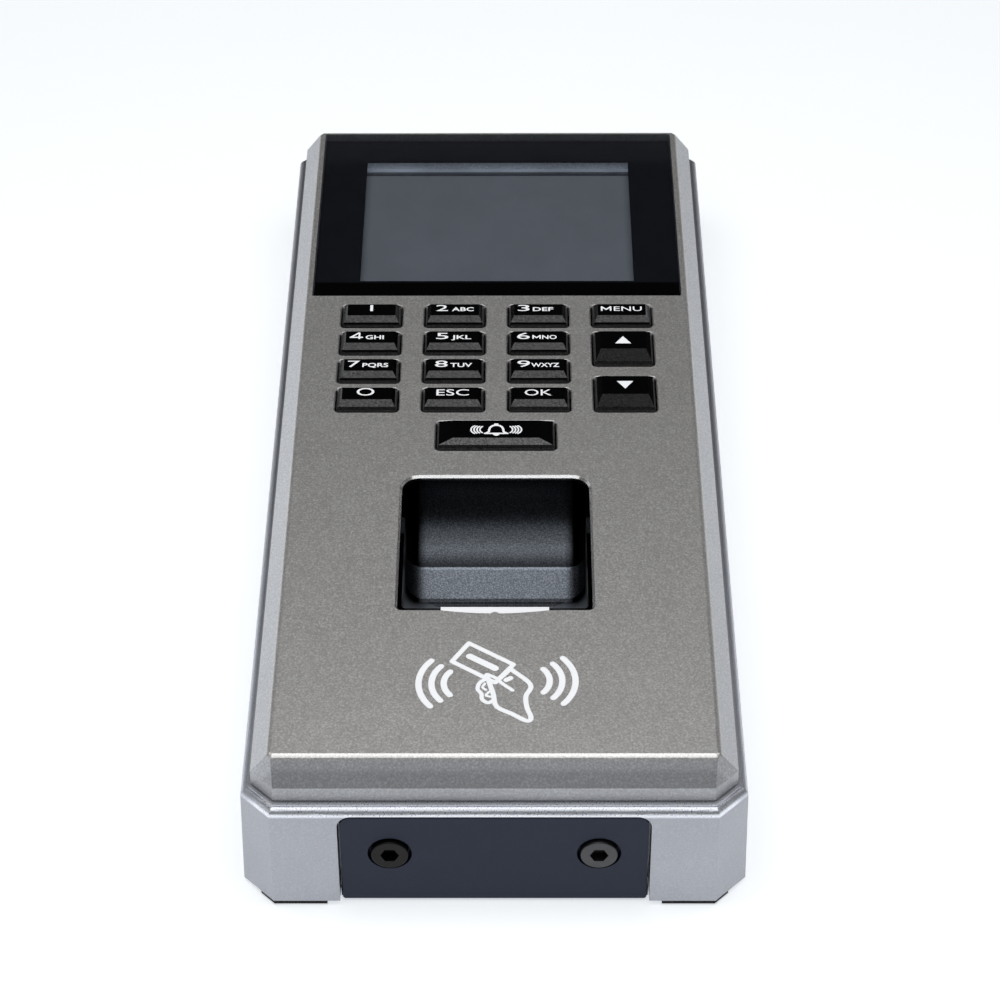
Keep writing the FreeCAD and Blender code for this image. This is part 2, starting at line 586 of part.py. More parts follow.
def make_foot_pad(index, side, end):
    """Corner pad that follows the housing's cut corner."""
    body = new_body(f"pad_body_{index}")
    outline = Drawing(body, f"pad_outline_{index}", "0")
    near, cut_x = "dims.back_long / 2 - 0.05", "dims.back_wide / 2 - dims.rear_corner - 0.1"
    corners = [("25.9", near), (cut_x, near), (f"{cut_x} + 2.2", f"{near} - 2.2"),
               (f"{cut_x} + 2.2", f"{near} - 8.4"), ("25.9", f"{near} - 8.4")]
    outline.polygon([(f"{side} * ({x})", f"{end} * ({y})") for x, y in corners])
    pad(body, outline, "dims.pad_tall")
    dress(body, "Chamfer", f"pad_edge_{index}", "0.1", lambda edge: level(edge, 0))
    keep(body, f"foot_pad_{index}")


def make_screw(node, x, y, z, length, turn, head=2.75, head_tall=1.4, edge=1.19, socket=1.25,
               shank=1.5, socket_deep=1.1):
    """Screw with a hexagon socket; its head's underside is at the given place."""
    crown = cylinder(node + "_head", head, 0, 0, 0, head_tall)
    crown = round_edges(node + "_dome", crown, edge,
                        lambda edge: level(edge, head_tall) and edge.Length > 1)
    stem = cylinder(node + "_stem", shank, 0, 0, f"-({length})", length)
    key = doc.addObject("Part::Prism", node + "_socket")
    bind(key, Circumradius=f"{socket} / cos(30)", Height=head_tall)
    at(key, 0, 0, head_tall - socket_deep)
    screw = cut(node + "_shape", fuse(node + "_blank", [crown, stem]), key)
    screw.Placement = Placement(Vector(), turn)
    at(screw, x, y, z)
    keep(screw, node)


def make_key(node, x, y, wide, tall, slope, side):
    """Cap with sloping walls and a sloping front, a flange that holds it in and a stem."""
    half, deep = f"({wide} / 2 - dims.key_gap)", f"({tall} / 2 - dims.key_gap)"
    skirt = rounded_box(node + "_skirt", "dims.key_hole_round - dims.key_gap",
                        f"{x} - {half}", f"{x} + {half}", f"{y} - {deep}", f"{y} + {deep}",
                        f"{FACE_LOW} - 0.2", f"{TOP} - 0.2")
    brow = (f"{half} - 0.45", f"{deep} - 0.2", f"{deep} - 0.95")
    flat = (f"{half} - 0.45 - {side}", f"{deep} - 0.2 - {slope}", f"{deep} - 1.5")
    walls = wedge(node + "_walls", x, y, f"{TOP} - 0.2", (half, deep, deep), brow,
                  "dims.key_wall + 0.2")
    cap = wedge(node + "_cap", x, y, f"{TOP} + dims.key_wall", brow, flat,
                "dims.key_top - dims.key_wall")
    flange = box(node + "_flange", f"{x} - {wide} / 2 - 0.8", f"{x} + {wide} / 2 + 0.8",
                 f"{y} - {tall} / 2 - 0.42", f"{y} + {tall} / 2 + 0.42",
                 f"{FACE_LOW} - 0.9", f"{FACE_LOW} - 0.05")
    stem = box(node + "_stem", f"{x} - {wide} / 4", f"{x} + {wide} / 4", f"{y} - 1.5", f"{y} + 1.5",
               f"{FACE_LOW} - 1.8", f"{FACE_LOW} - 0.9")
    keep(fuse(node + "_shape", [skirt, walls, cap, flange, stem]), node)


def wedge(name, x, y, z, base, top, tall):
    """Frustum on (x, y, z); base and top are each (half width, reach to -Y, reach to +Y)."""
    obj = doc.addObject("Part::Wedge", name)
    obj.Placement = Placement(Vector(), Rotation(Vector(1, 0, 0), 90))
    bind(obj, Xmin=f"-({base[0]})", Xmax=base[0], Zmin=f"-({base[2]})", Zmax=base[1],
         X2min=f"-({top[0]})", X2max=top[0], Z2min=f"-({top[2]})", Z2max=top[1],
         Ymin=0, Ymax=tall)
    return at(obj, x, y, z)


def slope_box(name, half, y, z, angle, back, run, low, high):
    """Block along a slope through (y, z): from back to run along it, from low to high off it."""
    obj = doc.addObject("Part::Box", name)
    bind(obj, Length=f"2 * ({half})", Width=f"({run}) + ({back})", Height=f"({high}) - ({low})",
         Placement__Rotation__Angle=angle)
    obj.Placement.Rotation.Axis = Vector(1, 0, 0)
    along, off = f"(-({back}))", f"({low})"
    return at(obj, f"-({half})", f"{y} + {along} * cos({angle}) - {off} * sin({angle})",
              f"{z} + {along} * sin({angle}) + {off} * cos({angle})")


# The platen slopes down from the near edge of the well to the foot of the stop facet.
PLATEN = "-dims.platen_angle * 1deg"
PLATEN_Y, PLATEN_Z = "(dims.well_near + 0.5)", "dims.platen_start"
PLATEN_RUN = f"((dims.platen_end_y - {PLATEN_Y}) / cos(dims.platen_angle * 1deg))"
PLATEN_END_Z = f"({PLATEN_Z} - {PLATEN_RUN} * sin(dims.platen_angle * 1deg))"


def make_sensor_well():
    """Black insert: collar in the face, scooped fingertip stop, stop facet and sloping floor."""
    half = "(dims.well_wide / 2 - dims.collar - 0.05)"
    collar = well_prism("well_collar", "dims.well_wide / 2 - 0.05", "dims.well_near + 0.05",
                        "dims.well_far - 0.05", f"{FACE_LOW} - 1", f"{TOP} - dims.collar_sunk")
    block = box("well_block", f"-{half} - 1.6", f"{half} + 1.6", "dims.well_near - 1.2",
                "dims.well_far + 1.4", 9, f"{FACE_LOW} - 0.05")
    plan = well_prism("well_plan", half, "dims.well_near + 0.5", "dims.well_far - 0.45", 5, 30)
    floor = trough("well_floor", half, PLATEN_Y, PLATEN_Z, PLATEN, 30, 40)
    facet = trough("well_facet", half, "dims.platen_end_y", PLATEN_END_Z,
                   "dims.facet_angle * 1deg", 40, 40)
    stop = cylinder("well_stop", "dims.stop_radius", f"-{half}",
                    "dims.well_far - 0.45 - dims.stop_radius", "dims.stop_height",
                    f"2 * {half}", Rotation(Vector(0, 1, 0), 90))
    stop = round_edges("well_stop_round", stop, "dims.corner_round - 0.2",
                       lambda edge: edge.Length > 40)
    hollow = fuse("well_hollow", [common("well_ramp", [plan, floor, facet]), stop])
    under = slope_box("well_under", f"{half} - 0.2", PLATEN_Y, PLATEN_Z, PLATEN,
                      4, PLATEN_RUN, -40, -1.3)
    opening = doc.addObject("Part::Extrusion", "well_opening")
    opening.Base = glass_outline("opening_outline", 0.1)
    bind(opening, LengthRev=3, LengthFwd=3)
    opening.Solid = True
    blank = fuse("well_blank", [collar, block])
    rim = box("well_strip_seat", "-dims.strip_wide / 2", "dims.strip_wide / 2", "dims.well_near",
              "dims.strip_far + 0.4", f"{TOP} - dims.strip_deep", TOP)
    keep(cut("sensor_well_shape", blank, hollow, under, opening, rim), "sensor_well")
    keep(light_strip("light_strip_shape", "dims.strip_gap",
                     f"{TOP} - dims.strip_deep + dims.strip_gap", f"{TOP} - dims.strip_gap"),
         "light_strip")


def well_prism(name, half, near, far, low, high):
    """Upright block with round far corners and nearly square near ones."""
    whole = rounded_box(name + "_whole", "dims.corner_round - 0.1", f"-({half})", half, near, far,
                        low, high)
    front = rounded_box(name + "_front", "dims.near_round - 0.1", f"-({half})", half, near,
                        f"{far} - 12", low, high)
    return fuse(name, [whole, front])


def trough(name, half, y, z, angle, reach, high):
    """Block above a slope, its lower side edges rounded."""
    return round_edges(name + "_round", slope_box(name, half, y, z, angle, reach, reach, 0, high),
                       "dims.well_round", lambda edge: is_low_side(edge, size(angle), y, z))


def is_low_side(edge, angle, y, z):
    """True for an edge along the slope that lies on it."""
    lean = Vector(0, math.cos(angle_value(angle)), math.sin(angle_value(angle)))
    ends = [v.Point for v in edge.Vertexes]
    start = Vector(ends[0].x, size(y), size(z))
    return ((ends[1] - ends[0]).cross(lean).Length < 1e-6
            and (ends[0] - start).cross(lean).Length < 1e-3)


def angle_value(angle):
    """Degrees to radians."""
    return math.radians(angle)


def glass_outline(name, margin):
    """Outline of the platen glass on the slope, narrow where the finger comes in."""
    drawing = Drawing(None, name)
    outline = drawing.sketch
    outline.Placement = Placement(Vector(), Rotation(Vector(-1, 0, 0), 30))
    outline.setExpression("Placement.Rotation.Angle", "dims.platen_angle * 1deg")
    outline.setExpression("Placement.Base.y", PLATEN_Y)
    outline.setExpression("Placement.Base.z", PLATEN_Z)
    narrow, wide, end = f"8.7 + {margin}", f"11.5 + {margin}", f"{PLATEN_RUN} - 0.1 + {margin}"
    drawing.polygon([(f"-({narrow})", f"1.2 - {margin}"), (narrow, f"1.2 - {margin}"),
                     (narrow, "14.5"), (wide, end), (f"-({wide})", end), (f"-({narrow})", "14.5")])
    return outline


def make_display():
    """Window, black mask, display frame, panel and light guide."""
    low = f"{TOP} - dims.window_sunk - dims.window_thick"
    limits = ("-dims.window_wide / 2", "dims.window_wide / 2", "dims.window_near", "dims.window_far")
    keep(rounded_box("display_window_shape", 0.25, *limits, low, f"{low} + dims.window_thick"),
         "display_window")
    sheet_blank = box("mask_blank", *limits, f"{low} - dims.mask_thick", low)
    view = box("mask_view", "-dims.view_wide / 2", "dims.view_wide / 2", "dims.view_near",
               "dims.view_far", f"{low} - 1", f"{low} + 1")
    keep(cut("window_mask_shape", sheet_blank, view), "window_mask")

    high = f"({TOP} - dims.display_thick)"
    middle = "dims.panel_y"
    frame = box("lcd_frame_blank", -30.15, 30.15, f"{middle} - 21.3", f"{middle} + 21.3",
                f"{high} - 3.3", high)
    sight = box("lcd_sight", -25.4, 25.4, f"{middle} - 19.4", f"{middle} + 19.4",
                f"{high} - 1", f"{high} + 1")
    room = box("lcd_room", -29.6, 29.6, f"{middle} - 20.7", f"{middle} + 20.7",
               f"{high} - 4", f"{high} - 0.4")
    keep(cut("lcd_frame_shape", frame, sight, room), "lcd_frame")
    keep(box("lcd_panel_shape", -29.4, 29.4, f"{middle} - 20.5", f"{middle} + 20.5",
             f"{high} - 1.7", f"{high} - 0.4"), "lcd_panel")
    keep(box("light_guide_shape", -29.4, 29.4, f"{middle} - 20.5", f"{middle} + 20.5",
             f"{high} - 3.3", f"{high} - 1.7"), "light_guide")
    keep(box("display_board_shape", -30.15, 30.15, f"{middle} - 21.3", f"{middle} + 21.3",
             f"{high} - 3.3 - dims.board_thick", f"{high} - 3.3"), "display_board")


def make_keypad():
    """Silicone mat with a raised pad under each key stem, on its own circuit board."""
    mat_low = f"({FACE_LOW} - 4.0)"
    mat = box("mat_sheet", -31, 31, -14.5, 29.5, mat_low, f"{mat_low} + 0.8")
    bumps = [box(f"mat_bump_{node}", f"{x} - {wide} / 5", f"{x} + {wide} / 5", f"{y} - 1.3",
                 f"{y} + 1.3", f"{mat_low} + 0.7", f"{FACE_LOW} - 1.85 - dims.key_travel")
             for node, x, y, wide, _, _, _ in KEYS]
    keep(fuse("keypad_mat_shape", [mat, *bumps]), "keypad_mat")
    keep(box("keypad_board_shape", -33, 33, -14.5, 29.5, f"{mat_low} - dims.board_thick", mat_low),
         "keypad_board")


def make_sensor():
    """Platen glass on its slope, the camera block under it and the sensor's board."""
    glass = doc.addObject("Part::Extrusion", "sensor_glass_shape")
    glass.Base = glass_outline("glass_sketch", 0)
    bind(glass, LengthRev=1.3, LengthFwd=-0.1)
    glass.Solid = True
    keep(glass, "sensor_glass")
    keep(slope_box("sensor_module_shape", 12, PLATEN_Y, PLATEN_Z, PLATEN, -1, "20.5", -5.6, -1.35),
         "sensor_module")
    keep(slope_box("sensor_board_shape", 12, PLATEN_Y, PLATEN_Z, PLATEN, -1, "20.5", -6.8, -5.65),
         "sensor_board")


def make_electronics():
    """Main board with its parts, card antenna, speaker and tamper switch."""
    low, high = "dims.board_low", "(dims.board_low + dims.board_thick)"
    board = rounded_box("main_board_blank", 1.5, -33.5, 33.5, -14, 76.4, low, high)
    holes = [cylinder(f"main_board_hole_{i}", 1.6, x, y, 0, 12)
             for i, (x, y) in enumerate([*BOARD_SCREWS, TAMPER], 1)]
    keep(cut("main_board_shape", board, *holes), "main_board")
    for i, (x, y) in enumerate(BOARD_SCREWS, 1):
        make_screw(f"board_screw_{i}", x, y, high, 5, Rotation(), 2.2, 1.3, 1.1, 0.9, 0.95)
    under = f"{low} - 4.4"
    for node, x0, x1 in (("power_connector", -17, -7.5), ("lock_connector", -6.5, 6.5),
                         ("network_connector", 7.5, 17)):
        blank = box(node + "_blank", x0, x1, -5, 1.5, under, low)
        mouth = box(node + "_mouth", x0 + 0.8, x1 - 0.8, -4.2, 0.7, f"{under} - 1", f"{under} + 3.4")
        keep(cut(node + "_shape", blank, mouth), node)
    keep(box("processor_shape", -8, 8, 30, 46, high, f"{high} + 1.2"), "processor")
    keep(box("relay_shape", 16, 31, 8, 20, high, f"{high} + 8"), "relay")
    keep(cylinder("buzzer_shape", 5.5, -24, 12, high, 7), "buzzer")
    holder = cylinder("coin_cell_holder_blank", 7.6, -22, 62, high, 3)
    seat = cylinder("coin_cell_seat", 6.35, -22, 62, f"{high} + 0.6", 5)
    keep(cut("coin_cell_holder_shape", holder, seat), "coin_cell_holder")
    keep(cylinder("coin_cell_shape", 6.25, -22, 62, f"{high} + 0.6", 1.6), "coin_cell")

    coil = rounded_box("antenna_blank", 4, -26, 26, -77, -56, f"{FACE_LOW} - 1", FACE_LOW)
    eye = rounded_box("antenna_eye", 3, -19, 19, -72, -61, f"{FACE_LOW} - 3", FACE_LOW)
    keep(cut("card_antenna_shape", coil, eye), "card_antenna")
    rim = cylinder("speaker_rim", 10, 20, -62, FLOOR, 4)
    hollow = cylinder("speaker_hollow", 9, 20, -62, f"{FLOOR} + 3", 5)
    keep(cut("speaker_shape", rim, hollow), "speaker")

    x, y = TAMPER
    case = box("tamper_case", x - 3.5, x + 3.5, y - 3.5, y + 3.5, high, f"{high} + 5.5")
    bore = cylinder("tamper_bore", 1.3, x, y, 0, f"{high} + 4.5")
    keep(cut("tamper_switch_shape", case, bore), "tamper_switch")
    tip = "(dims.plate_low + dims.plate_thick + 0.05)"
    keep(cylinder("tamper_plunger_shape", 1.2, x, y, tip, f"{high} + 3.2 - {tip}"), "tamper_plunger")


def check():
    """Stop if any object failed, or a sub-part is empty, broken or in more than one solid."""
    bad = [obj.Label for obj in doc.Objects if {"Invalid", "Error"} & set(obj.State)]
    bad += [obj.Label for obj in parts
            if obj.Shape.isNull() or not obj.Shape.isValid() or len(obj.Shape.Solids) != 1]
    if bad:
        raise RuntimeError("failed: " + ", ".join(bad))


make_front_housing()
make_rear_housing()
make_seal()
make_wall_bracket()
for number, (side, end) in enumerate(((-1, -1), (1, -1), (-1, 1), (1, 1)), start=1):
    make_foot_pad(number, side, end)
seat_y = "dims.lip_face + dims.sink_deep"
for node, x in (("security_screw_left", "-dims.screw_x"), ("security_screw_right", "dims.screw_x")):
    make_screw(node, x, seat_y, "dims.screw_z", 8, Rotation(Vector(1, 0, 0), 90), head=2.85,
               head_tall=2.0, edge=0.2, socket_deep=1.5)
for number, spot in enumerate(CASE_SCREWS, start=1):
    make_screw(f"case_screw_{number}", *spot, f"{RECESS} + 1.5", 16, Rotation(Vector(1, 0, 0), 180))
for key in KEYS:
    make_key(*key)
make_sensor_well()
make_sensor()
make_display()
make_keypad()
make_electronics()
doc.recompute()
check()
os.makedirs("parts", exist_ok=True)
for part in parts:
    part.Shape.exportStep(os.path.join("parts", part.Label + ".step"))
print(len(parts), "sub-parts")
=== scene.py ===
"""Finish of the fingerprint terminal: materials, printed marks, floor, light and camera."""
import math

import bmesh
import bpy
from mathutils import Matrix, Vector


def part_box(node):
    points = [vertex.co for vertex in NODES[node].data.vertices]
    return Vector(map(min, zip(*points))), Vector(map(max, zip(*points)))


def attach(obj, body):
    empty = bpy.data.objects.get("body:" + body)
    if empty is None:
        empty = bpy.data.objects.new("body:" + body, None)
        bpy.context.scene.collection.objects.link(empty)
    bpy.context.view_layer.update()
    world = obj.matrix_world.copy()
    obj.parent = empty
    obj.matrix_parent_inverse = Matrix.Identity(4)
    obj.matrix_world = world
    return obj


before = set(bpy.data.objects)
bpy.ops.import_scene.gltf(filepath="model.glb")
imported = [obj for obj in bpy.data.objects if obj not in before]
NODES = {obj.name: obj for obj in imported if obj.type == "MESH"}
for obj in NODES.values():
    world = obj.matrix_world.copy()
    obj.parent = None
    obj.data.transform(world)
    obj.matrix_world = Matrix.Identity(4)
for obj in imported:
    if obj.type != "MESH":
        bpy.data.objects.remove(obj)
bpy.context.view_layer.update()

MM = 0.001
ROOT = "terminal"
scene = bpy.context.scene
scene.view_settings.view_transform = "Standard"

# ---------------------------------------------------------------- camera

# Fitted to the photo's outlines: angles in radians, place and lens in millimetres.
PITCH, YAW, ROLL = 0.715585, -0.005566, -0.004244
CAMERA_PLACE = (2.766, -389.805, 343.94)
LENS, SENSOR = 105.013, 36

forward = Vector((math.sin(YAW) * math.cos(PITCH), math.cos(YAW) * math.cos(PITCH),
                  -math.sin(PITCH)))
level = forward.cross(Vector((0, 0, 1))).normalized()
rise = level.cross(forward)
right = math.cos(ROLL) * level + math.sin(ROLL) * rise
up = math.cos(ROLL) * rise - math.sin(ROLL) * level
camera = bpy.data.objects.new("camera", bpy.data.cameras.new("camera"))
scene.collection.objects.link(camera)
camera.matrix_world = Matrix.Translation(Vector(CAMERA_PLACE) * MM) @ Matrix(
    (right, up, -forward)).transposed().to_4x4()
camera.data.sensor_width = SENSOR
camera.data.lens = LENS
camera.data.clip_start, camera.data.clip_end = 0.02, 20
scene.camera = camera


# ---------------------------------------------------------------- levels

def top_of(name):
    """Height of a node's top, in millimetres."""
    return round(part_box(name)[1].z / MM, 3)


FACE = top_of("front_housing")
KEY_FLAT = top_of("key_1")


# ---------------------------------------------------------------- materials

ACRYLIC_IOR = 1.49
CLOUD_MM, PEEL_MM = 9.0, 0.35  # soft clouds in a paint's colour, fine peel in its surface
PATCH_RATIO = 14  # patches of a plain surface, against its grain


def tree(name):
    """A new material, its node tree and its Principled shader."""
    material = bpy.data.materials.new(name)
    material.use_nodes = True
    return material, material.node_tree, material.node_tree.nodes["Principled BSDF"]


def node(nodes, kind, **inputs):
    """Add a shader node; keyword names with underscores are input sockets."""
    made = nodes.nodes.new("ShaderNode" + kind)
    for key, value in inputs.items():
        made.inputs[key.replace("_", " ")].default_value = value
    return made


def place(nodes):
    """The object's own coordinates, in metres."""
    return node(nodes, "TexCoord").outputs["Object"]


def noise(nodes, size_mm, detail=2.0, rough=0.5, seed=0.0):
    """Noise with grains of about this size."""
    made = node(nodes, "TexNoise", Scale=1 / (size_mm * MM), Detail=detail, Roughness=rough)
    if seed:
        shift = node(nodes, "Mapping")
        shift.inputs["Location"].default_value = (seed, seed * 0.7, seed * 0.3)
        nodes.links.new(place(nodes), shift.inputs["Vector"])
        nodes.links.new(shift.outputs["Vector"], made.inputs["Vector"])
    else:
        nodes.links.new(place(nodes), made.inputs["Vector"])
    return made.outputs["Fac"]


def ramp(nodes, value, *stops):
    """Colour ramp over value, with stops of (place, colour)."""
    made = node(nodes, "ValToRGB")
    nodes.links.new(value, made.inputs["Fac"])
    points = made.color_ramp.elements
    while len(points) < len(stops):
        points.new(0.5)
    for point, (spot, colour) in zip(points, stops):
        point.position = spot
        point.color = (*colour, 1)
    return made.outputs["Color"]


def reach(nodes, value, low, high, out_low=0.0, out_high=1.0):
    """Map a value from one range to another."""
    made = node(nodes, "MapRange")
    for socket, number in zip(("From Min", "From Max", "To Min", "To Max"),
                              (low, high, out_low, out_high)):
        made.inputs[socket].default_value = number
    nodes.links.new(value, made.inputs["Value"])
    return made.outputs["Result"]


def bump(nodes, shader, height, strength, depth_mm):
    """Give a shader a bump of this height map."""
    made = node(nodes, "Bump", Strength=strength, Distance=depth_mm * MM)
    nodes.links.new(height, made.inputs["Height"])
    nodes.links.new(made.outputs["Normal"], shader.inputs["Normal"])


def scaled(colour, factor):
    """Plain colour times a number, kept in range."""
    return tuple(min(1.0, c * factor) for c in colour)


def along(nodes, axis, start, end, out_start=0.0, out_end=1.0):
    """Map one of the object's own coordinates, in millimetres."""
    split = node(nodes, "SeparateXYZ")
    nodes.links.new(place(nodes), split.inputs["Vector"])
    return reach(nodes, split.outputs[axis], start * MM, end * MM, out_start, out_end)


def maths(nodes, operation, a, b):
    """Combine two values; either may be a plain number."""
    made = node(nodes, "Math")
    made.operation = operation
    for socket, value in zip(made.inputs, (a, b)):
        if isinstance(value, (int, float)):
            socket.default_value = value
        else:
            nodes.links.new(value, socket)
    return made.outputs["Value"]


def times(nodes, *values):
    """Product of several values."""
    product = values[0]
    for value in values[1:]:
        product = maths(nodes, "MULTIPLY", product, value)
    return product


def dimmed(nodes, colour, factor):
    """Colour multiplied by a value."""
    made = node(nodes, "VectorMath")
    made.operation = "SCALE"
    nodes.links.new(colour, made.inputs[0])
    nodes.links.new(factor, made.inputs["Scale"])
    return made.outputs["Vector"]


def tinted(nodes, colour, tint):
    """Colour multiplied by another colour."""
    made = node(nodes, "VectorMath")
    made.operation = "MULTIPLY"
    nodes.links.new(colour, made.inputs[0])
    nodes.links.new(tint, made.inputs[1])
    return made.outputs["Vector"]


def metallic_paint(name, colour, metallic, roughness, sparkle, grain_mm, zones, tint=None):
    """Paint with fine metal flakes.

    zones gives a factor of painted shade and highlight on the colour and one, or None, on the
    roughness; tint gives a colour, a painted reflection tint.
    """
    material, nodes, shader = tree(name)
    flakes = noise(nodes, grain_mm, 1.0, 0.6)
    clouds = reach(nodes, noise(nodes, CLOUD_MM, 3.0, 0.5, seed=0.31), 0.3, 0.7, 0.96, 1.0)
    fine = ramp(nodes, flakes, (0.30, scaled(colour, 1 - sparkle)), (0.52, colour),
                (0.72, scaled(colour, 1 + 1.6 * sparkle)))
    rough = reach(nodes, flakes, 0.3, 0.7, roughness - 0.04, roughness + 0.05)
    shade, gloss = zones(nodes)
    if gloss:
        rough = times(nodes, rough, gloss)
    finished = dimmed(nodes, fine, times(nodes, clouds, shade))
    if tint:
        finished = tinted(nodes, finished, tint(nodes))
    nodes.links.new(finished, shader.inputs["Base Color"])
    nodes.links.new(rough, shader.inputs["Roughness"])
    shader.inputs["Metallic"].default_value = metallic
    bump(nodes, shader, noise(nodes, PEEL_MM, 2.0, 0.6, seed=0.11), 0.25, 0.02)
    return material


def plain(name, colour, roughness, vary=0.08, grain_mm=0.5, depth_mm=0.01, strength=0.2,
          metallic=0.0, **sockets):
    """Moulded or coated surface: slight colour variation, fine grain in roughness and bump."""
    material, nodes, shader = tree(name)
    grain = noise(nodes, grain_mm, 3.0, 0.6)
    patches = noise(nodes, grain_mm * PATCH_RATIO, 2.0, 0.5, seed=0.17)
    nodes.links.new(ramp(nodes, patches, (0.3, scaled(colour, 1 - vary)),
                         (0.7, scaled(colour, 1 + vary))), shader.inputs["Base Color"])
    nodes.links.new(reach(nodes, grain, 0.3, 0.7, max(roughness - 0.05, 0.01), roughness + 0.05),
                    shader.inputs["Roughness"])
    shader.inputs["Metallic"].default_value = metallic
    for key, value in sockets.items():
        shader.inputs[key.replace("_", " ")].default_value = value
    bump(nodes, shader, grain, strength, depth_mm)
    return material


def shaded(material, axis, start, end, factor):
    """Paint light and shade into a material's colour: multiply it up to start along an axis; it is
    unchanged past end.
    """
    nodes = material.node_tree
    base = nodes.nodes["Principled BSDF"].inputs["Base Color"]
    nodes.links.new(dimmed(nodes, base.links[0].from_socket,
                           along(nodes, axis, start, end, factor, 1.0)), base)


def key_plastic(name):
    """Glossy black plastic whose shine has a grain."""
    material = plain(name, (0.001, 0.001, 0.0015), 0.12, grain_mm=0.25, depth_mm=0.004)
    nodes = material.node_tree
    grain = noise(nodes, 0.28, 2.0, 0.6, seed=0.23)
    nodes.links.new(reach(nodes, grain, 0.3, 0.7, 0.15, 0.70),
                    nodes.nodes["Principled BSDF"].inputs["Specular IOR Level"])
    return material


def glass_pane(name):
    """Clear hard-coated pane with a mirror share at its surface."""
    material, nodes, shader = tree(name)
    nodes.nodes.remove(shader)
    clear = node(nodes, "BsdfTransparent", Color=(0.80, 0.82, 0.84, 1))
    gloss = node(nodes, "BsdfGlossy", Color=(1, 1, 1, 1))
    smears = noise(nodes, 6.0)
    nodes.links.new(reach(nodes, smears, 0.3, 0.7, 0.02, 0.05), gloss.inputs["Roughness"])
    share = node(nodes, "Fresnel", IOR=ACRYLIC_IOR)
    outside = maths(nodes, "SUBTRACT", 1.0, node(nodes, "NewGeometry").outputs["Backfacing"])
    mirror = times(nodes, share.outputs["Fac"], outside)
    mix = node(nodes, "MixShader")
    nodes.links.new(mirror, mix.inputs["Fac"])
    nodes.links.new(clear.outputs["BSDF"], mix.inputs[1])
    nodes.links.new(gloss.outputs["BSDF"], mix.inputs[2])
    nodes.links.new(mix.outputs["Shader"], nodes.nodes["Material Output"].inputs["Surface"])
    return material


def coat(material, *names):
    """Give a material to CAD nodes."""
    for name in names:
        slots = NODES[name].data.materials
        if len(slots) == 0:
            slots.append(material)
        for i in range(len(slots)):
            slots[i] = material


def group(*starts):
    """Names of the CAD nodes that start with one of these words."""
    return [name for name in NODES if name.startswith(starts)]


# Limits of the zones of painted shade and painted highlight, in millimetres on the object. A zone
# fades in over a short step.
BEVEL_START = -85.4  # painted shade on the near bevel of the face
# painted shade on the right slope of the face starts here
RIGHT_SLOPE = 33.0
BAND_TOP = 22.9  # painted shade on the upright band under the slopes of the face
WELL_HALF = 16.4  # finger well's opening, with a painted highlight on its edge
WELL_FAR, WELL_NEAR = -18.2, -52.8
RIM_LOW = 18.5  # painted highlight on the rounded rim of the rear housing
RIM_NEAR_END = -84.0
MIDDLE_HALF = 13.1  # middle of the well; outside it the colour is painted black as shade
# painted highlight on the stop facet of the well and its crease
FACET_FAR, FACET_NEAR = -28.8, -32.85
MASK_NEAR = 37.0  # the window's mask is black up to this place; its lighter tone past it is a painted reflection
FRAME_FAR = 74.7  # the display's frame is painted dark up to this place as shade; past it its bright colour is painted light


def face_shade_and_highlight(nodes):
    """Painted shade on the near bevel, right slope and upright band; a painted highlight on the
    edge round the well.
    """
    near_bevel_shade = along(nodes, "Y", BEVEL_START, BEVEL_START + 1.0, 0.71, 1.0)
    near_half_shade = along(nodes, "Y", -80, -20, 0.89, 1.0)
    right_slope_shade = along(nodes, "X", RIGHT_SLOPE, RIGHT_SLOPE + 1.0, 1.0, 0.92)
    slopes = times(nodes, maths(nodes, "MINIMUM", near_bevel_shade, near_half_shade), right_slope_shade)
    slopes = maths(nodes, "MAXIMUM", slopes, along(nodes, "Z", FACE - 0.6, FACE - 0.3))
    upright_band_shade = along(nodes, "Z", BAND_TOP, BAND_TOP + 0.2, 0.55, 1.0)
    well_edge_highlight = times(nodes, along(nodes, "Z", FACE - 0.02, FACE - 0.08),
                along(nodes, "Z", FACE - 0.6, FACE - 0.5),
                along(nodes, "X", -WELL_HALF, 0.2 - WELL_HALF),
                along(nodes, "X", WELL_HALF, WELL_HALF - 0.2),
                along(nodes, "Y", WELL_FAR, WELL_FAR - 0.2),
                along(nodes, "Y", WELL_NEAR, WELL_NEAR + 0.2))
    shade = maths(nodes, "ADD", maths(nodes, "MINIMUM", slopes, upright_band_shade),
                  times(nodes, well_edge_highlight, 0.3))
    return shade, maths(nodes, "SUBTRACT", 1.0, times(nodes, well_edge_highlight, 0.55))


def slope_reflection_tint(nodes):
    """Painted reflection: a colder colour on everything below the flat of the face."""
    return ramp(nodes, along(nodes, "Z", FACE - 0.9, FACE - 0.2), (0.0, (0.92, 0.942, 1.0)),
                (1.0, (0.999, 0.999, 0.999)))


def rim_painted_highlight(nodes):
    """Painted highlight on the rounded rim of the rear housing: bright at the near end, duller
    along the sides.
    """
    rim = along(nodes, "Z", RIM_LOW, RIM_LOW + 0.4)
    near = times(nodes, rim, along(nodes, "Y", RIM_NEAR_END, RIM_NEAR_END - 2.5))
    sides = times(nodes, rim, along(nodes, "Y", 10, -75, 0.10, 0.55))
    gain = maths(nodes, "MAXIMUM", sides, times(nodes, near, 1.15))
    return (maths(nodes, "ADD", 1.0, gain),
            maths(nodes, "SUBTRACT", 1.0, times(nodes, near, 0.3)))


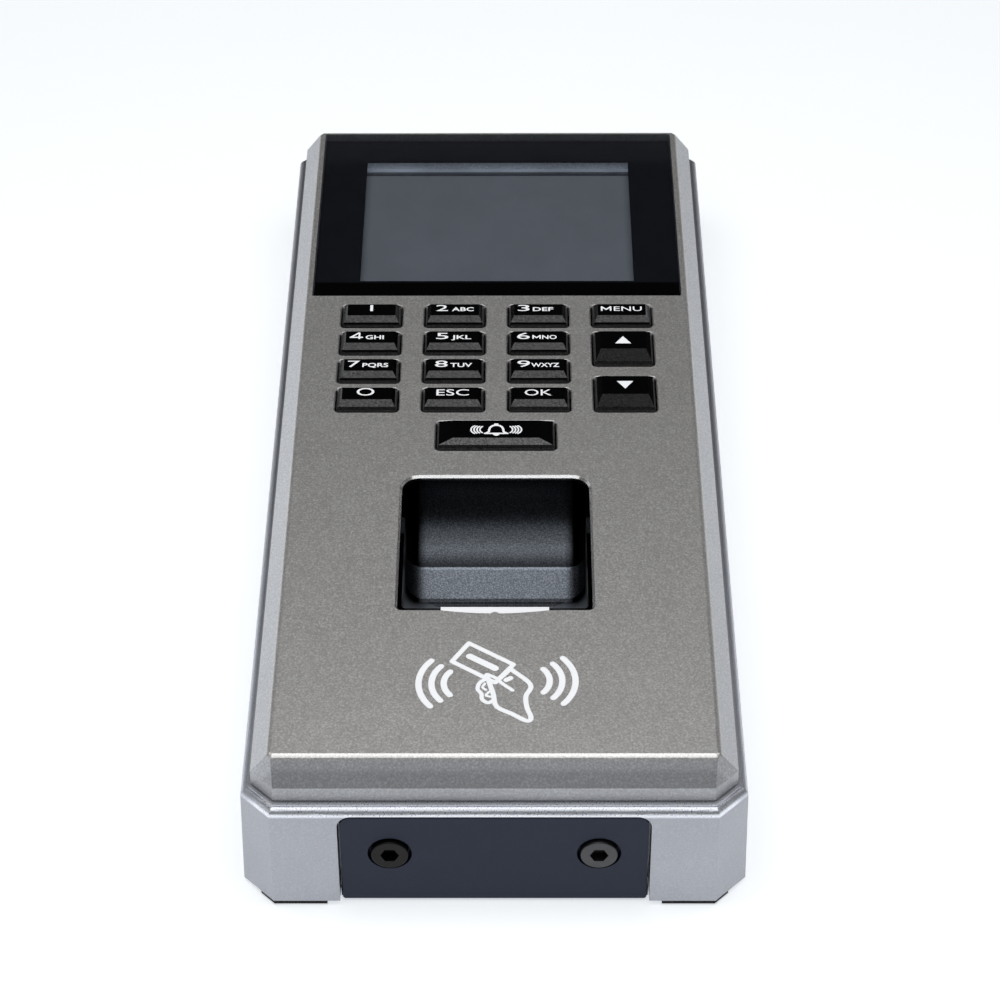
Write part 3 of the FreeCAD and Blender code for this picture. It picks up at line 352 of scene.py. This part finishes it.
def well_shade_and_highlight(nodes):
    """The flaked middle keeps its colour; painted shade blackens the sides, and painted highlights
    brighten the stop facet and its crease.
    """
    middle = times(nodes, along(nodes, "X", -MIDDLE_HALF, 1.5 - MIDDLE_HALF),
                   along(nodes, "X", MIDDLE_HALF, MIDDLE_HALF - 1.5))
    facet = times(nodes, along(nodes, "Y", FACET_FAR, FACET_FAR - 0.15),
                  along(nodes, "Y", FACET_NEAR, FACET_NEAR + 0.15))
    crease = times(nodes, facet, along(nodes, "Y", FACET_FAR - 0.45, FACET_FAR - 0.3))
    gain = maths(nodes, "ADD", times(nodes, facet, 2.3), times(nodes, crease, 2.0))
    lit = times(nodes, maths(nodes, "ADD", gain, 1.0), middle)
    return maths(nodes, "MAXIMUM", lit, times(nodes, facet, 1.2)), None


# Housings, bracket and fasteners
coat(metallic_paint("face_paint", (0.82, 0.805, 0.785), 0.82, 0.44, 0.15, 0.3, face_shade_and_highlight,
                    slope_reflection_tint), "front_housing")
coat(metallic_paint("body_paint", (0.44, 0.45, 0.49), 0.72, 0.42, 0.08, 0.3, rim_painted_highlight),
     "rear_housing")
coat(plain("slate_coat", (0.005, 0.008, 0.028), 0.48, grain_mm=0.3, depth_mm=0.02, strength=0.5,
           Specular_IOR_Level=0.36, Specular_Tint=(0.78, 0.87, 1, 1)), "wall_bracket")
coat(plain("seal_rubber", (0.16, 0.16, 0.17), 0.6), "housing_seal")
coat(plain("foot_rubber", (0.012, 0.009, 0.012), 0.6, Specular_IOR_Level=0.2), *group("foot_pad"))
# The two security screws are the same black steel; the right one's lighter copy is a painted
# highlight.
coat(plain("dark_steel", (0.014, 0.012, 0.012), 0.40, metallic=0.8, grain_mm=0.2),
     "security_screw_left")
coat(plain("grey_steel_painted_highlight", (0.075, 0.075, 0.078), 0.40, metallic=0.9, grain_mm=0.2),
     "security_screw_right")
coat(plain("zinc_steel", (0.5, 0.5, 0.5), 0.3, metallic=1.0, grain_mm=0.2),
     *group("case_screw", "board_screw"))

# Window, mask and display
coat(glass_pane("window_pane"), "display_window")
# The mask's lighter tone is a painted reflection, kept only past MASK_NEAR.
mask_print = plain("mask_print", (0.020, 0.021, 0.027), 0.8, Specular_IOR_Level=0.0)
shaded(mask_print, "Y", MASK_NEAR, MASK_NEAR + 0.3, 0.02)
coat(mask_print, "window_mask")
coat(plain("display_face", (0.40, 0.41, 0.44), 0.35, vary=0.05), "lcd_panel")
# Painted light: the frame's bright colour stands for a lit strip, darkened nearer as painted
# shade.
frame_steel = plain("frame_steel", (0.75, 0.79, 0.86), 0.45, metallic=0.3, vary=0.15, grain_mm=0.4)
shaded(frame_steel, "Y", FRAME_FAR, FRAME_FAR + 0.1, 0.25)
coat(frame_steel, "lcd_frame")
coat(plain("light_guide", (0.7, 0.7, 0.7), 0.4), "light_guide")

# Keys
coat(key_plastic("key_black"), *group("key_"))
coat(plain("key_mat_rubber", (0.11, 0.12, 0.13), 0.6), "keypad_mat")

# Finger well
coat(metallic_paint("well_coat", (0.060, 0.066, 0.075), 1.0, 0.33, 0.42, 0.24, well_shade_and_highlight),
     "sensor_well")
# The white strip's weak emission is a painted glow for its bright look.
coat(plain("strip_white", (0.93, 0.93, 0.95), 0.45, vary=0.02, Emission_Color=(0.95, 0.96, 1, 1),
           Emission_Strength=0.35), "light_strip")
coat(plain("sensor_coat", (0.004, 0.004, 0.006), 0.06, grain_mm=2.0, depth_mm=0.001),
     "sensor_glass")

# Boards and what is on them
coat(plain("board_mask", (0.01, 0.06, 0.03), 0.3), "keypad_board", "display_board", "sensor_board",
     "main_board")
coat(plain("module_black", (0.015, 0.015, 0.016), 0.5), "sensor_module", "buzzer", "speaker",
     "relay", "processor", "tamper_switch", "coin_cell_holder")
coat(plain("cell_steel", (0.6, 0.6, 0.6), 0.2, metallic=1.0), "coin_cell")
coat(plain("nylon", (0.6, 0.58, 0.52), 0.45), "power_connector", "lock_connector",
     "network_connector")
coat(plain("copper_film", (0.30, 0.14, 0.05), 0.4), "card_antenna")
coat(plain("acetal", (0.6, 0.6, 0.58), 0.35), "tamper_plunger")

# The white print's weak emission is a painted glow that keeps it bright.
print_white = plain("print_white", (0.86, 0.87, 0.88), 0.45, vary=0.03, grain_mm=0.2,
                    depth_mm=0.004, Emission_Color=(0.94, 0.97, 1, 1), Emission_Strength=0.42)


# ---------------------------------------------------------------- printed marks

INK = 0.012
CAP_HEIGHT = 0.73  # of a capital letter, as a share of the typeface's size
DIGIT_WEIGHT, LETTER_WEIGHT = 0.004, 0.028
SMALL_TALL = 1.12
LEGEND_DROP, UPPER_DROP = 0.62, 0.40


def link(name, mesh, body, material):
    """A mesh in millimetres becomes a piece that rides on a body."""
    mesh.transform(Matrix.Scale(MM, 4))
    obj = bpy.data.objects.new(name, mesh)
    scene.collection.objects.link(obj)
    mesh.materials.clear()
    mesh.materials.append(material)
    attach(obj, body)


def slab(points, z):
    """Closed flat plate of ink on the level z, over a simple outline."""
    shape = bmesh.new()
    base = shape.faces.new([shape.verts.new((x, y, z)) for x, y in points])
    raised = bmesh.ops.extrude_face_region(shape, geom=[base])
    lifted = [v for v in raised["geom"] if isinstance(v, bmesh.types.BMVert)]
    bmesh.ops.translate(shape, verts=lifted, vec=(0, 0, INK))
    bmesh.ops.recalc_face_normals(shape, faces=shape.faces)
    bmesh.ops.triangulate(shape, faces=[f for f in shape.faces if len(f.verts) > 4])
    return shape


def joined(name, shapes):
    """One mesh from several bmesh shapes; where they overlap they become one solid."""
    pieces = []
    for shape in shapes:
        part = bpy.data.meshes.new("part")
        shape.to_mesh(part)
        shape.free()
        pieces.append(bpy.data.objects.new("part", part))
        scene.collection.objects.link(pieces[-1])
    for other in pieces[1:]:
        union = pieces[0].modifiers.new("union", "BOOLEAN")
        union.operation, union.solver, union.object = "UNION", "EXACT", other
    bpy.context.view_layer.update()
    mesh = bpy.data.meshes.new_from_object(pieces[0].evaluated_get(
        bpy.context.evaluated_depsgraph_get()))
    mesh.name = name
    for piece in pieces:
        bpy.data.meshes.remove(piece.data)
    return mesh


def turned(middle, arm, steps=6):
    """Points of the half circle that starts at middle + arm, without its ends."""
    return [middle + Matrix.Rotation(math.pi * i / steps, 2) @ arm for i in range(1, steps)]


def stroke(points, width, z):
    """Closed ribbon of one width along a line of points, with round ends."""
    spots = [Vector(point) for point in points]
    left_side, right_side = [], []
    for i, spot in enumerate(spots):
        ahead = (spots[min(i + 1, len(spots) - 1)] - spots[max(i - 1, 0)]).normalized()
        across = Vector((-ahead.y, ahead.x)) * width / 2
        left_side.append(spot + across)
        right_side.append(spot - across)
    head, tail = right_side[-1] - spots[-1], left_side[0] - spots[0]
    return slab(right_side + turned(spots[-1], head) + left_side[::-1] + turned(spots[0], tail), z)


def smooth(points, steps=5):
    """Rounded line through the points."""
    spots = [Vector(point) for point in points]
    ends = [2 * spots[0] - spots[1]] + spots + [2 * spots[-1] - spots[-2]]
    line = []
    for before, start, end, after in zip(ends, ends[1:], ends[2:], ends[3:]):
        for i in range(steps):
            u = i / steps
            line.append(0.5 * (2 * start + (end - before) * u
                               + (2 * before - 5 * start + 4 * end - after) * u * u
                               + (3 * start - before - 3 * end + after) * u ** 3))
    return line + [spots[-1]]


def arc(x, y, radius, start, end, steps=24):
    """Points on a circle, angles in degrees."""
    return [(x + radius * math.cos(math.radians(start + (end - start) * i / steps)),
             y + radius * math.sin(math.radians(start + (end - start) * i / steps)))
            for i in range(steps + 1)]


def text_shape(words, tall, x, y, wide):
    """Lettering with its left end and baseline at (x, y), stretched to a width."""
    curve = bpy.data.curves.new("words", "FONT")
    curve.body = words
    curve.size = tall / CAP_HEIGHT
    curve.offset = LETTER_WEIGHT if tall < 1.2 else DIGIT_WEIGHT
    curve.extrude = INK / 2
    curve.resolution_u = 4
    source = bpy.data.objects.new("words", curve)
    scene.collection.objects.link(source)
    bpy.context.view_layer.update()
    mesh = bpy.data.meshes.new_from_object(source.evaluated_get(
        bpy.context.evaluated_depsgraph_get()))
    bpy.data.objects.remove(source)
    shape = bmesh.new()
    shape.from_mesh(mesh)
    bpy.data.meshes.remove(mesh)
    bmesh.ops.remove_doubles(shape, verts=shape.verts, dist=1e-5)
    low, high = min(v.co.x for v in shape.verts), max(v.co.x for v in shape.verts)
    for v in shape.verts:
        v.co = Vector(((v.co.x - low) * wide / (high - low) + x, v.co.y + y,
                       v.co.z + KEY_FLAT + INK / 2))
    return shape


# Key: digit or word, its start from the key's middle, width and height, then the small letters,
# their gap and width.
LEGENDS = {
    "key_1": ("I", -0.27, 0.5, 1.85),
    "key_2": ("2", -3.35, 2.1, 1.85, "ABC", 0.70, 3.9),
    "key_3": ("3", -3.65, 2.1, 1.85, "DEF", 0.57, 3.65),
    "key_4": ("4", -3.62, 2.4, 1.85, "GHI", 0.45, 3.2),
    "key_5": ("5", -3.20, 2.15, 1.85, "JKL", 0.53, 3.5),
    "key_6": ("6", -3.80, 2.25, 1.85, "MNO", 0.45, 4.3),
    "key_7": ("7", -3.60, 2.1, 1.85, "PQRS", 0.45, 4.5),
    "key_8": ("8", -3.25, 2.2, 1.85, "TUV", 0.45, 3.8),
    "key_9": ("9", -3.75, 2.2, 1.85, "WXYZ", 0.20, 4.9),
    "key_0": ("O", -1.75, 3.05, 2.15),
    "key_esc": ("ESC", -2.85, 5.6, 1.75),
    "key_ok": ("OK", -2.50, 4.65, 1.70),
    "key_menu": ("MENU", -3.70, 7.3, 1.35),
}
UPPER_ROW = ("key_1", "key_2", "key_3", "key_menu")
M_SHARES = {"MENU": (0.26, 0.42), "MNO": (0.345, 0.22)}  # share of the width, gap after the M


def digit_four(tall, x, y, wide):
    """A 4 from three strokes, with its left end and baseline at (x, y)."""
    bar, top = y + 0.27 * tall, y + tall
    stem = x + 0.72 * wide
    lines = (((x + 0.15, bar), (x + wide - 0.15, bar)),
             ((x + 0.22, bar), (x + 0.68 * wide, top - 0.1)),
             ((stem, y + 0.16), (stem, top - 0.16)))
    return [stroke(line, 0.32, KEY_FLAT) for line in lines]


def letter_m(tall, x, y, wide):
    """An M from four strokes, with its left end and baseline at (x, y)."""
    thick = 0.23 * tall
    inner, outer = x + thick / 2, x + wide - thick / 2
    low, high = y + thick / 2, y + tall - thick / 2
    dip = ((inner + outer) / 2, low + 0.2 * tall)
    lines = (((inner, low), (inner, high)), ((inner, high), dip), (dip, (outer, high)),
             ((outer, high), (outer, low)))
    return [stroke(line, thick, KEY_FLAT) for line in lines]


def words_from(words, tall, x, y, wide):
    """Lettering as shapes; the digit 4 and a first letter M are drawn from strokes."""
    if words == "4":
        return digit_four(tall, x, y, wide)
    if words not in M_SHARES:
        return [text_shape(words, tall, x, y, wide)]
    share, gap = M_SHARES[words]
    rest = wide - wide * share - gap
    return letter_m(tall, x, y, wide * share) + [
        text_shape(words[1:], tall, x + wide - rest, y, rest)]


def key_middle(name):
    """Middle of a key, seen from above, in millimetres."""
    low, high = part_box(name)
    return (low.x + high.x) / 2 / MM, (low.y + high.y) / 2 / MM


for name, (big, start, wide, tall, *small) in LEGENDS.items():
    middle_x, middle_y = key_middle(name)
    base_y = middle_y - (UPPER_DROP if name in UPPER_ROW else LEGEND_DROP)
    left = middle_x + start
    shapes = words_from(big, tall, left, base_y, wide)
    if small:
        letters, gap, span = small
        shapes += words_from(letters, SMALL_TALL, left + wide + gap, base_y, span)
    link("legend_" + name, joined("legend_" + name, shapes), name + "_body", print_white)

ARROW_RISE, ARROW_HALF_WIDE, ARROW_HALF_TALL = 0.72, 1.42, 1.03
for name, tip in (("key_up", 1), ("key_down", -1)):
    x, y = key_middle(name)
    y += ARROW_RISE
    foot, peak = y - ARROW_HALF_TALL * tip, y + ARROW_HALF_TALL * tip
    corners = [(x - ARROW_HALF_WIDE, foot), (x + ARROW_HALF_WIDE, foot), (x, peak)]
    mesh = joined("legend_" + name, [slab(corners[::tip], KEY_FLAT)])
    link("legend_" + name, mesh, name + "_body", print_white)


# Waves of the bell: how far out, their radius and half of their angle.
BELL_WAVES = ((4.28, 1.15, 62), (3.78, 1.1, 58), (3.28, 1.05, 56), (2.78, 1.0, 55))
BELL_PEN, BRIM_PEN, BELL_WAVE_PEN = 0.38, 0.32, 0.26


def bell_mark(x, y, z):
    """Bell on its brim at (x, y), with four sound waves on each side."""
    skirt = [(1.19, 1.0), (1.27, 0.42), (1.70, 0.08)]
    dome = [(x - out, y + height) for out, height in skirt[::-1]]
    dome += arc(x, y + 1.02, 1.17, 172, 8, 12)
    dome += [(x + out, y + height) for out, height in skirt]
    brim = [(x - 1.95, y), (x + 1.95, y)]
    clapper = arc(x, y - 0.02, 0.60, 180, 360, 10)
    knob = [(x - 0.36, y + 2.0), (x + 0.36, y + 2.0), (x + 0.36, y + 2.62), (x - 0.36, y + 2.62)]
    shapes = [stroke(dome, BELL_PEN, z), stroke(brim, BRIM_PEN, z), slab(clapper, z),
              slab(knob, z)]
    for side, lean in ((1, 0), (-1, 180)):
        for apex, radius, half in BELL_WAVES:
            line = arc(x + side * (apex - radius), y + 1.0, radius, lean - half, lean + half, 10)
            shapes.append(stroke(line, BELL_WAVE_PEN, z))
    return shapes


x, y = key_middle("key_bell")
link("legend_key_bell", joined("legend_key_bell", bell_mark(x + 0.06, y - 1.26, KEY_FLAT)),
     "key_bell_body", print_white)


# Waves of the card mark: the outermost points to the left and right, and half of the height.
CARD_WAVES = ((-11.75, 12.55, 5.0), (-9.75, 10.5, 3.75), (-7.85, 8.55, 2.55))
CARD_WAVE_PEN, CARD_PEN = 0.98, 0.78
CARD_CORNERS = [(-4.05, -59.2), (2.95, -64.0), (0.1, -68.0), (-6.65, -63.3)]
CARD_BAR = [(-3.9, -62.15), (0.1, -64.85)]

# Lines of the hand, each with its width: outline, thumb, nail and fingers.
HAND_LINES = (
    ([(2.5, -65.0), (5.55, -68.4), (4.85, -71.0), (5.0, -73.4), (5.6, -75.5), (5.0, -76.3),
      (2.7, -74.8), (0.35, -73.2), (-0.15, -70.6), (-0.6, -68.8), (-1.2, -66.3)], CARD_PEN),
    ([(-1.1, -66.2), (0.2, -67.0), (1.3, -68.3), (2.8, -69.7)], 0.6),
    ([(0.9, -67.2), (1.65, -66.3), (2.3, -65.4)], 0.5),
    ([(1.8, -67.45), (2.5, -67.0)], 0.85),
    ([(-1.3, -67.2), (-2.25, -68.0), (-2.6, -69.4), (-2.0, -70.45), (-1.9, -71.6),
      (-1.05, -72.4), (-0.1, -71.9)], 0.66),
    ([(-1.45, -68.2), (-1.85, -69.0), (-1.3, -69.6)], 0.40),
    ([(-0.8, -70.0), (-1.3, -70.8), (-0.6, -71.1)], 0.40),
)


def card_mark():
    """Hand that holds a card, with three waves on each side: drawn for this part."""
    shapes = []
    for x_left, x_right, half_tall in CARD_WAVES:
        radius = half_tall * 1.5
        half = math.degrees(math.asin(half_tall / radius))
        for apex, side, lean, y in ((x_left, -1, 180, -68.15), (x_right, 1, 0, -67.6)):
            line = arc(apex - side * radius, y, radius, lean - half, lean + half)
            shapes.append(stroke(line, CARD_WAVE_PEN, FACE))
    for corner, following in zip(CARD_CORNERS, CARD_CORNERS[1:] + CARD_CORNERS[:1]):
        shapes.append(stroke([corner, following], CARD_PEN, FACE))
    shapes.append(stroke(CARD_BAR, 1.15, FACE))
    return shapes + [stroke(smooth(points), width, FACE) for points, width in HAND_LINES]


link("mark_card", joined("mark_card", card_mark()), ROOT, print_white)

# ---------------------------------------------------------------- floor and light

FLOOR_HALF = 6.0  # metres
FLOOR_DROP = 0.2  # keeps the floor clear of the foot pads

floor_mesh = bpy.data.meshes.new("floor")
floor_mesh.from_pydata([(x * FLOOR_HALF, y * FLOOR_HALF, 0)
                        for x, y in ((-1, -1), (1, -1), (1, 1), (-1, 1))], [], [(0, 1, 2, 3)])
floor = bpy.data.objects.new("floor", floor_mesh)
scene.collection.objects.link(floor)
floor.location.z = -FLOOR_DROP * MM
floor_mesh.materials.append(plain(
    "floor_white", (0.93, 0.93, 0.935), 0.6, vary=0.01, grain_mm=60, strength=0.02,
    Emission_Color=(0.93, 0.97, 1, 1), Emission_Strength=0.60))

world = bpy.data.worlds.new("room")
scene.world = world
world.use_nodes = True
background = world.node_tree.nodes["Background"]
background.inputs["Color"].default_value = (0.95, 0.97, 1.0, 1)
background.inputs["Strength"].default_value = 0.02


def lamp(name, where, aim, wide, tall, radiance, colour=(1, 1, 1)):
    """Rectangular soft light, in metres, by the brightness of its face."""
    data = bpy.data.lights.new(name, "AREA")
    data.shape = "RECTANGLE"
    data.size, data.size_y, data.color = wide, tall, colour
    data.energy = radiance * math.pi * wide * tall
    obj = bpy.data.objects.new(name, data)
    scene.collection.objects.link(obj)
    obj.location = where
    obj.rotation_euler = (Vector(aim) - Vector(where)).to_track_quat("-Z", "Y").to_euler()
    obj.visible_camera = False


LAMP_DISTANCE = 1.1
HEART = (0, 0, 0.02)  # middle of the terminal, which the far lamps aim at


def strip_lamp(name, angle, radiance):
    """Wide low light at an angle over the far horizon."""
    turn = math.radians(angle)
    where = (0, LAMP_DISTANCE * math.cos(turn), LAMP_DISTANCE * math.sin(turn) + HEART[2])
    lamp(name, where, HEART, 2.0, 0.29, radiance)


def side_lamp(name, x, radiance):
    """Tall cool light beside the terminal."""
    lamp(name, (x, 0, 0.35), HEART, 1.6, 0.5, radiance, (0.90, 0.95, 1))


# The first two mirror in the face and give it its run from dark to bright; the third lights the
# edges that look at the camera.
lamp("overhead_near", (0, -0.22, 0.48), (0, -0.05, 0), 0.6, 0.30, 1.20)
lamp("overhead", (0, -0.02, 0.48), (0, 0, 0), 0.6, 0.20, 2.08)
lamp("edge_light", (0, -0.45, 0.46), (0, -0.05, 0.02), 0.30, 0.08, 1.0, (0.86, 0.93, 1))
side_lamp("left_side", -LAMP_DISTANCE, 0.40)
side_lamp("right_side", LAMP_DISTANCE, 0.10)
strip_lamp("far_glow", 25, 0.06)
strip_lamp("top_strip", 70, 0.55)
